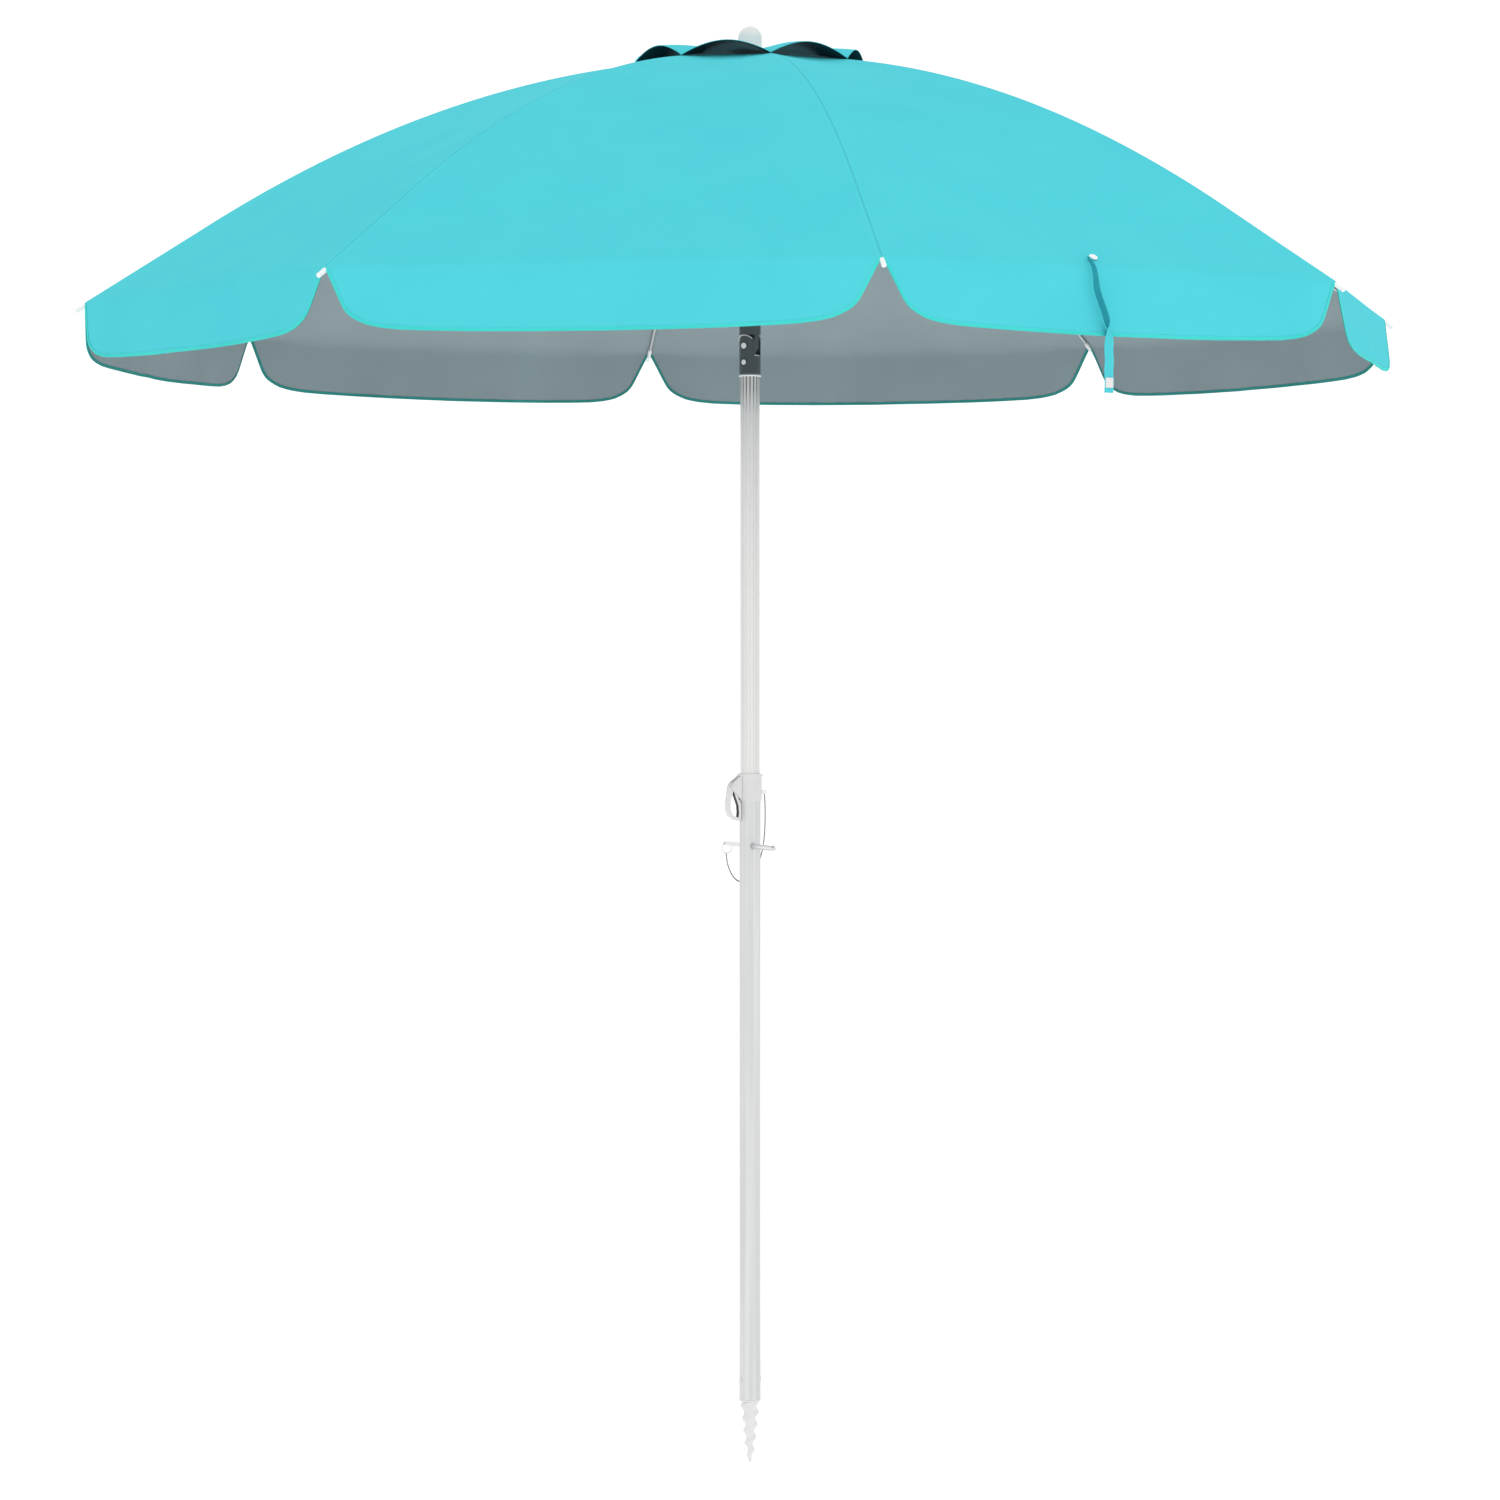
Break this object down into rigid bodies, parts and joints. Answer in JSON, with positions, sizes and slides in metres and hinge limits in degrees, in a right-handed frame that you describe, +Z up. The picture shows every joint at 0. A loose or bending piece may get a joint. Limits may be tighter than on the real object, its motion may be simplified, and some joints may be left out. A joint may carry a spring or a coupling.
{
  "type": "beach umbrella",
  "caption": "Open beach umbrella: vented round canopy with a valance on folding ribs, push-button tilt, telescopic pole with a flip clamp, and a screw-in sand anchor.",
  "frame": {"origin": "tip of the sand anchor, at the bottom of the pole's axis", "axes": "+Z up along the pole, -Y the front, +X the right"},
  "size_m": [1.9986, 1.9986, 2.18],
  "materials": {
    "painted_pole": "satin light grey paint",
    "fluted_pole": "satin light grey paint over fine flutes",
    "white_plastic": "smooth moulded",
    "dark_plastic": "dark grey moulded",
    "hub_plastic": "smooth moulded",
    "bright_steel": "bright plated",
    "rib_steel": "light coated wire",
    "canopy_fabric": "woven, silver coated underside",
    "strap_webbing": "woven webbing"
  },
  "bodies": {
    "lower_pole": {"lower_pole": "painted_pole", "sand_anchor": "white_plastic", "anchor_rivet": "bright_steel", "clamp_collar": "white_plastic", "collar_hardware": "bright_steel", "chain": "bright_steel"},
    "clamp_lever": {"clamp_lever": "white_plastic"},
    "t_bar": {"t_bar": "bright_steel", "split_ring": "bright_steel"},
    "upper_pole": {"upper_pole": "fluted_pole", "tilt_base": "dark_plastic"},
    "tilt_button": {"tilt_button": "bright_steel"},
    "head": {"head_pole": "fluted_pole", "tilt_head": "dark_plastic", "tilt_pin": "bright_steel", "crown": "hub_plastic", "finial": "white_plastic", "vent_cap": "canopy_fabric"},
    "runner": {"runner": "hub_plastic"},
    "tie_strap": {"tie_strap": "strap_webbing"},
    "rib_inner_0": {"rib_inner_0": "rib_steel"},
    "rib_outer_0": {"rib_outer_0": "rib_steel"},
    "stretcher_0": {"stretcher_0": "rib_steel"},
    "gore_inner_0": {"gore_inner_0": "canopy_fabric"},
    "gore_outer_0": {"gore_outer_0": "canopy_fabric"},
    "rib_inner_1": {"rib_inner_1": "rib_steel"},
    "rib_outer_1": {"rib_outer_1": "rib_steel"},
    "stretcher_1": {"stretcher_1": "rib_steel"},
    "gore_inner_1": {"gore_inner_1": "canopy_fabric"},
    "gore_outer_1": {"gore_outer_1": "canopy_fabric"},
    "rib_inner_2": {"rib_inner_2": "rib_steel"},
    "rib_outer_2": {"rib_outer_2": "rib_steel"},
    "stretcher_2": {"stretcher_2": "rib_steel"},
    "gore_inner_2": {"gore_inner_2": "canopy_fabric"},
    "gore_outer_2": {"gore_outer_2": "canopy_fabric"},
    "rib_inner_3": {"rib_inner_3": "rib_steel"},
    "rib_outer_3": {"rib_outer_3": "rib_steel"},
    "stretcher_3": {"stretcher_3": "rib_steel"},
    "gore_inner_3": {"gore_inner_3": "canopy_fabric"},
    "gore_outer_3": {"gore_outer_3": "canopy_fabric"},
    "rib_inner_4": {"rib_inner_4": "rib_steel"},
    "rib_outer_4": {"rib_outer_4": "rib_steel"},
    "stretcher_4": {"stretcher_4": "rib_steel"},
    "gore_inner_4": {"gore_inner_4": "canopy_fabric"},
    "gore_outer_4": {"gore_outer_4": "canopy_fabric"},
    "rib_inner_5": {"rib_inner_5": "rib_steel"},
    "rib_outer_5": {"rib_outer_5": "rib_steel"},
    "stretcher_5": {"stretcher_5": "rib_steel"},
    "gore_inner_5": {"gore_inner_5": "canopy_fabric"},
    "gore_outer_5": {"gore_outer_5": "canopy_fabric"},
    "rib_inner_6": {"rib_inner_6": "rib_steel"},
    "rib_outer_6": {"rib_outer_6": "rib_steel"},
    "stretcher_6": {"stretcher_6": "rib_steel"},
    "gore_inner_6": {"gore_inner_6": "canopy_fabric"},
    "gore_outer_6": {"gore_outer_6": "canopy_fabric"},
    "rib_inner_7": {"rib_inner_7": "rib_steel"},
    "rib_outer_7": {"rib_outer_7": "rib_steel"},
    "stretcher_7": {"stretcher_7": "rib_steel"},
    "gore_inner_7": {"gore_inner_7": "canopy_fabric"},
    "gore_outer_7": {"gore_outer_7": "canopy_fabric"}
  },
  "joints": [
    {"name": "clamp_open", "type": "hinge", "parent": "lower_pole", "child": "clamp_lever", "pos_m": [-0.02633, -0.01117, 1.029], "axis": [-0.3907, 0.9205, 0], "range_deg": [0, 110]},
    {"name": "t_bar_slide", "type": "slide", "parent": "lower_pole", "child": "t_bar", "axis": [0.309, -0.9511, 0], "range_m": [-0.09, 0.11], "deforming": ["chain"]},
    {"name": "pole_extend", "type": "slide", "parent": "lower_pole", "child": "upper_pole", "axis": [0, 0, 1], "range_m": [0, 0.075]},
    {"name": "tilt_button_press", "type": "slide", "parent": "upper_pole", "child": "tilt_button", "axis": [0.5878, 0.809, 0], "range_m": [0, 0.003], "stiffness_N_per_m": 400, "springref_m": -0.002},
    {"name": "head_tilt", "type": "hinge", "parent": "upper_pole", "child": "head", "pos_m": [0, 0, 1.696], "axis": [-0.5878, -0.809, 0], "range_deg": [-40, 0]},
    {"name": "canopy_fold", "type": "slide", "parent": "head", "child": "runner", "axis": [0, 0, -1], "range_m": [0, 0.6248], "deforming": ["gore_inner_0", "gore_inner_1", "gore_inner_2", "gore_inner_3", "gore_inner_4", "gore_inner_5", "gore_inner_6", "gore_inner_7", "gore_outer_0", "gore_outer_1", "gore_outer_2", "gore_outer_3", "gore_outer_4", "gore_outer_5", "gore_outer_6", "gore_outer_7", "vent_cap", "tie_strap"]},
    {"name": "rib_inner_0_fold", "type": "hinge", "parent": "head", "child": "rib_inner_0", "pos_m": [0.00417, -0.02363, 2.1248], "axis": [0.9848, 0.1736, 0], "range_deg": [-0.6, 75.6]},
    {"name": "rib_outer_0_fold", "type": "hinge", "parent": "rib_inner_0", "child": "rib_outer_0", "pos_m": [0.08161, -0.46286, 2.03774], "axis": [0.9848, 0.1736, 0], "range_deg": [-20.8, 0.6]},
    {"name": "stretcher_0_fold", "type": "hinge", "parent": "rib_inner_0", "child": "stretcher_0", "pos_m": [0.07953, -0.45104, 2.028], "axis": [0.9848, 0.1736, 0], "range_deg": [-138.18, 0.6]},
    {"name": "gore_inner_0_fold", "type": "hinge", "parent": "head", "child": "gore_inner_0", "pos_m": [0, 0, 2.09], "axis": [0.8434, 0.5373, 0], "range_deg": [-0.6, 77.6]},
    {"name": "gore_outer_0_fold", "type": "hinge", "parent": "gore_inner_0", "child": "gore_outer_0", "pos_m": [0.2333, -0.3662, 2.0428], "axis": [0.8434, 0.5373, 0], "range_deg": [-24.6, 0.6]},
    {"name": "rib_inner_1_fold", "type": "hinge", "parent": "head", "child": "rib_inner_1", "pos_m": [0.01966, -0.01377, 2.1248], "axis": [0.5736, 0.8192, 0], "range_deg": [-0.6, 75.6]},
    {"name": "rib_outer_1_fold", "type": "hinge", "parent": "rib_inner_1", "child": "rib_outer_1", "pos_m": [0.385, -0.26958, 2.03774], "axis": [0.5736, 0.8192, 0], "range_deg": [-20.8, 0.6]},
    {"name": "stretcher_1_fold", "type": "hinge", "parent": "rib_inner_1", "child": "stretcher_1", "pos_m": [0.37517, -0.2627, 2.028], "axis": [0.5736, 0.8192, 0], "range_deg": [-138.18, 0.6]},
    {"name": "gore_inner_1_fold", "type": "hinge", "parent": "head", "child": "gore_inner_1", "pos_m": [0, 0, 2.09], "axis": [0.2164, 0.9763, 0], "range_deg": [-0.6, 77.6]},
    {"name": "gore_outer_1_fold", "type": "hinge", "parent": "gore_inner_1", "child": "gore_outer_1", "pos_m": [0.42391, -0.09398, 2.0428], "axis": [0.2164, 0.9763, 0], "range_deg": [-24.6, 0.6]},
    {"name": "rib_inner_2_fold", "type": "hinge", "parent": "head", "child": "rib_inner_2", "pos_m": [0.02363, 0.00417, 2.1248], "axis": [-0.1736, 0.9848, 0], "range_deg": [-0.6, 75.6]},
    {"name": "rib_outer_2_fold", "type": "hinge", "parent": "rib_inner_2", "child": "rib_outer_2", "pos_m": [0.46286, 0.08161, 2.03774], "axis": [-0.1736, 0.9848, 0], "range_deg": [-20.8, 0.6]},
    {"name": "stretcher_2_fold", "type": "hinge", "parent": "rib_inner_2", "child": "stretcher_2", "pos_m": [0.45104, 0.07953, 2.028], "axis": [-0.1736, 0.9848, 0], "range_deg": [-138.18, 0.6]},
    {"name": "gore_inner_2_fold", "type": "hinge", "parent": "head", "child": "gore_inner_2", "pos_m": [0, 0, 2.09], "axis": [-0.5373, 0.8434, 0], "range_deg": [-0.6, 77.6]},
    {"name": "gore_outer_2_fold", "type": "hinge", "parent": "gore_inner_2", "child": "gore_outer_2", "pos_m": [0.3662, 0.2333, 2.0428], "axis": [-0.5373, 0.8434, 0], "range_deg": [-24.6, 0.6]},
    {"name": "rib_inner_3_fold", "type": "hinge", "parent": "head", "child": "rib_inner_3", "pos_m": [0.01377, 0.01966, 2.1248], "axis": [-0.8192, 0.5736, 0], "range_deg": [-0.6, 75.6]},
    {"name": "rib_outer_3_fold", "type": "hinge", "parent": "rib_inner_3", "child": "rib_outer_3", "pos_m": [0.26958, 0.385, 2.03774], "axis": [-0.8192, 0.5736, 0], "range_deg": [-20.8, 0.6]},
    {"name": "stretcher_3_fold", "type": "hinge", "parent": "rib_inner_3", "child": "stretcher_3", "pos_m": [0.2627, 0.37517, 2.028], "axis": [-0.8192, 0.5736, 0], "range_deg": [-138.18, 0.6]},
    {"name": "gore_inner_3_fold", "type": "hinge", "parent": "head", "child": "gore_inner_3", "pos_m": [0, 0, 2.09], "axis": [-0.9763, 0.2164, 0], "range_deg": [-0.6, 77.6]},
    {"name": "gore_outer_3_fold", "type": "hinge", "parent": "gore_inner_3", "child": "gore_outer_3", "pos_m": [0.09398, 0.42391, 2.0428], "axis": [-0.9763, 0.2164, 0], "range_deg": [-24.6, 0.6]},
    {"name": "rib_inner_4_fold", "type": "hinge", "parent": "head", "child": "rib_inner_4", "pos_m": [-0.00417, 0.02363, 2.1248], "axis": [-0.9848, -0.1736, 0], "range_deg": [-0.6, 75.6]},
    {"name": "rib_outer_4_fold", "type": "hinge", "parent": "rib_inner_4", "child": "rib_outer_4", "pos_m": [-0.08161, 0.46286, 2.03774], "axis": [-0.9848, -0.1736, 0], "range_deg": [-20.8, 0.6]},
    {"name": "stretcher_4_fold", "type": "hinge", "parent": "rib_inner_4", "child": "stretcher_4", "pos_m": [-0.07953, 0.45104, 2.028], "axis": [-0.9848, -0.1736, 0], "range_deg": [-138.18, 0.6]},
    {"name": "gore_inner_4_fold", "type": "hinge", "parent": "head", "child": "gore_inner_4", "pos_m": [0, 0, 2.09], "axis": [-0.8434, -0.5373, 0], "range_deg": [-0.6, 77.6]},
    {"name": "gore_outer_4_fold", "type": "hinge", "parent": "gore_inner_4", "child": "gore_outer_4", "pos_m": [-0.2333, 0.3662, 2.0428], "axis": [-0.8434, -0.5373, 0], "range_deg": [-24.6, 0.6]},
    {"name": "rib_inner_5_fold", "type": "hinge", "parent": "head", "child": "rib_inner_5", "pos_m": [-0.01966, 0.01377, 2.1248], "axis": [-0.5736, -0.8192, 0], "range_deg": [-0.6, 75.6]},
    {"name": "rib_outer_5_fold", "type": "hinge", "parent": "rib_inner_5", "child": "rib_outer_5", "pos_m": [-0.385, 0.26958, 2.03774], "axis": [-0.5736, -0.8192, 0], "range_deg": [-20.8, 0.6]},
    {"name": "stretcher_5_fold", "type": "hinge", "parent": "rib_inner_5", "child": "stretcher_5", "pos_m": [-0.37517, 0.2627, 2.028], "axis": [-0.5736, -0.8192, 0], "range_deg": [-138.18, 0.6]},
    {"name": "gore_inner_5_fold", "type": "hinge", "parent": "head", "child": "gore_inner_5", "pos_m": [0, 0, 2.09], "axis": [-0.2164, -0.9763, 0], "range_deg": [-0.6, 77.6]},
    {"name": "gore_outer_5_fold", "type": "hinge", "parent": "gore_inner_5", "child": "gore_outer_5", "pos_m": [-0.42391, 0.09398, 2.0428], "axis": [-0.2164, -0.9763, 0], "range_deg": [-24.6, 0.6]},
    {"name": "rib_inner_6_fold", "type": "hinge", "parent": "head", "child": "rib_inner_6", "pos_m": [-0.02363, -0.00417, 2.1248], "axis": [0.1736, -0.9848, 0], "range_deg": [-0.6, 75.6]},
    {"name": "rib_outer_6_fold", "type": "hinge", "parent": "rib_inner_6", "child": "rib_outer_6", "pos_m": [-0.46286, -0.08161, 2.03774], "axis": [0.1736, -0.9848, 0], "range_deg": [-20.8, 0.6]},
    {"name": "stretcher_6_fold", "type": "hinge", "parent": "rib_inner_6", "child": "stretcher_6", "pos_m": [-0.45104, -0.07953, 2.028], "axis": [0.1736, -0.9848, 0], "range_deg": [-138.18, 0.6]},
    {"name": "gore_inner_6_fold", "type": "hinge", "parent": "head", "child": "gore_inner_6", "pos_m": [0, 0, 2.09], "axis": [0.5373, -0.8434, 0], "range_deg": [-0.6, 77.6]},
    {"name": "gore_outer_6_fold", "type": "hinge", "parent": "gore_inner_6", "child": "gore_outer_6", "pos_m": [-0.3662, -0.2333, 2.0428], "axis": [0.5373, -0.8434, 0], "range_deg": [-24.6, 0.6]},
    {"name": "rib_inner_7_fold", "type": "hinge", "parent": "head", "child": "rib_inner_7", "pos_m": [-0.01377, -0.01966, 2.1248], "axis": [0.8192, -0.5736, 0], "range_deg": [-0.6, 75.6]},
    {"name": "rib_outer_7_fold", "type": "hinge", "parent": "rib_inner_7", "child": "rib_outer_7", "pos_m": [-0.26958, -0.385, 2.03774], "axis": [0.8192, -0.5736, 0], "range_deg": [-20.8, 0.6]},
    {"name": "stretcher_7_fold", "type": "hinge", "parent": "rib_inner_7", "child": "stretcher_7", "pos_m": [-0.2627, -0.37517, 2.028], "axis": [0.8192, -0.5736, 0], "range_deg": [-138.18, 0.6]},
    {"name": "gore_inner_7_fold", "type": "hinge", "parent": "head", "child": "gore_inner_7", "pos_m": [0, 0, 2.09], "axis": [0.9763, -0.2164, 0], "range_deg": [-0.6, 77.6]},
    {"name": "gore_outer_7_fold", "type": "hinge", "parent": "gore_inner_7", "child": "gore_outer_7", "pos_m": [-0.09398, -0.42391, 2.0428], "axis": [0.9763, -0.2164, 0], "range_deg": [-24.6, 0.6]},
    {"name": "tie_strap_swing", "type": "hinge", "parent": "gore_outer_0", "child": "tie_strap", "pos_m": [0.46611, -0.77574, 1.7629], "axis": [0.8572, 0.515, 0], "range_deg": [-53.6, 0.6]}
  ],
  "couplings": [
    {"joint": "rib_inner_0_fold", "follows": "canopy_fold", "rad_per_m": 2.0951},
    {"joint": "rib_outer_0_fold", "follows": "canopy_fold", "rad_per_m": -0.56427},
    {"joint": "stretcher_0_fold", "follows": "canopy_fold", "rad_per_m": -3.8432},
    {"joint": "gore_inner_0_fold", "follows": "canopy_fold", "rad_per_m": 2.1509},
    {"joint": "gore_outer_0_fold", "follows": "canopy_fold", "rad_per_m": -0.67042},
    {"joint": "rib_inner_1_fold", "follows": "canopy_fold", "rad_per_m": 2.0951},
    {"joint": "rib_outer_1_fold", "follows": "canopy_fold", "rad_per_m": -0.56427},
    {"joint": "stretcher_1_fold", "follows": "canopy_fold", "rad_per_m": -3.8432},
    {"joint": "gore_inner_1_fold", "follows": "canopy_fold", "rad_per_m": 2.1509},
    {"joint": "gore_outer_1_fold", "follows": "canopy_fold", "rad_per_m": -0.67042},
    {"joint": "rib_inner_2_fold", "follows": "canopy_fold", "rad_per_m": 2.0951},
    {"joint": "rib_outer_2_fold", "follows": "canopy_fold", "rad_per_m": -0.56427},
    {"joint": "stretcher_2_fold", "follows": "canopy_fold", "rad_per_m": -3.8432},
    {"joint": "gore_inner_2_fold", "follows": "canopy_fold", "rad_per_m": 2.1509},
    {"joint": "gore_outer_2_fold", "follows": "canopy_fold", "rad_per_m": -0.67042},
    {"joint": "rib_inner_3_fold", "follows": "canopy_fold", "rad_per_m": 2.0951},
    {"joint": "rib_outer_3_fold", "follows": "canopy_fold", "rad_per_m": -0.56427},
    {"joint": "stretcher_3_fold", "follows": "canopy_fold", "rad_per_m": -3.8432},
    {"joint": "gore_inner_3_fold", "follows": "canopy_fold", "rad_per_m": 2.1509},
    {"joint": "gore_outer_3_fold", "follows": "canopy_fold", "rad_per_m": -0.67042},
    {"joint": "rib_inner_4_fold", "follows": "canopy_fold", "rad_per_m": 2.0951},
    {"joint": "rib_outer_4_fold", "follows": "canopy_fold", "rad_per_m": -0.56427},
    {"joint": "stretcher_4_fold", "follows": "canopy_fold", "rad_per_m": -3.8432},
    {"joint": "gore_inner_4_fold", "follows": "canopy_fold", "rad_per_m": 2.1509},
    {"joint": "gore_outer_4_fold", "follows": "canopy_fold", "rad_per_m": -0.67042},
    {"joint": "rib_inner_5_fold", "follows": "canopy_fold", "rad_per_m": 2.0951},
    {"joint": "rib_outer_5_fold", "follows": "canopy_fold", "rad_per_m": -0.56427},
    {"joint": "stretcher_5_fold", "follows": "canopy_fold", "rad_per_m": -3.8432},
    {"joint": "gore_inner_5_fold", "follows": "canopy_fold", "rad_per_m": 2.1509},
    {"joint": "gore_outer_5_fold", "follows": "canopy_fold", "rad_per_m": -0.67042},
    {"joint": "rib_inner_6_fold", "follows": "canopy_fold", "rad_per_m": 2.0951},
    {"joint": "rib_outer_6_fold", "follows": "canopy_fold", "rad_per_m": -0.56427},
    {"joint": "stretcher_6_fold", "follows": "canopy_fold", "rad_per_m": -3.8432},
    {"joint": "gore_inner_6_fold", "follows": "canopy_fold", "rad_per_m": 2.1509},
    {"joint": "gore_outer_6_fold", "follows": "canopy_fold", "rad_per_m": -0.67042},
    {"joint": "rib_inner_7_fold", "follows": "canopy_fold", "rad_per_m": 2.0951},
    {"joint": "rib_outer_7_fold", "follows": "canopy_fold", "rad_per_m": -0.56427},
    {"joint": "stretcher_7_fold", "follows": "canopy_fold", "rad_per_m": -3.8432},
    {"joint": "gore_inner_7_fold", "follows": "canopy_fold", "rad_per_m": 2.1509},
    {"joint": "gore_outer_7_fold", "follows": "canopy_fold", "rad_per_m": -0.67042},
    {"joint": "tie_strap_swing", "follows": "canopy_fold", "rad_per_m": -1.4805}
  ]
}
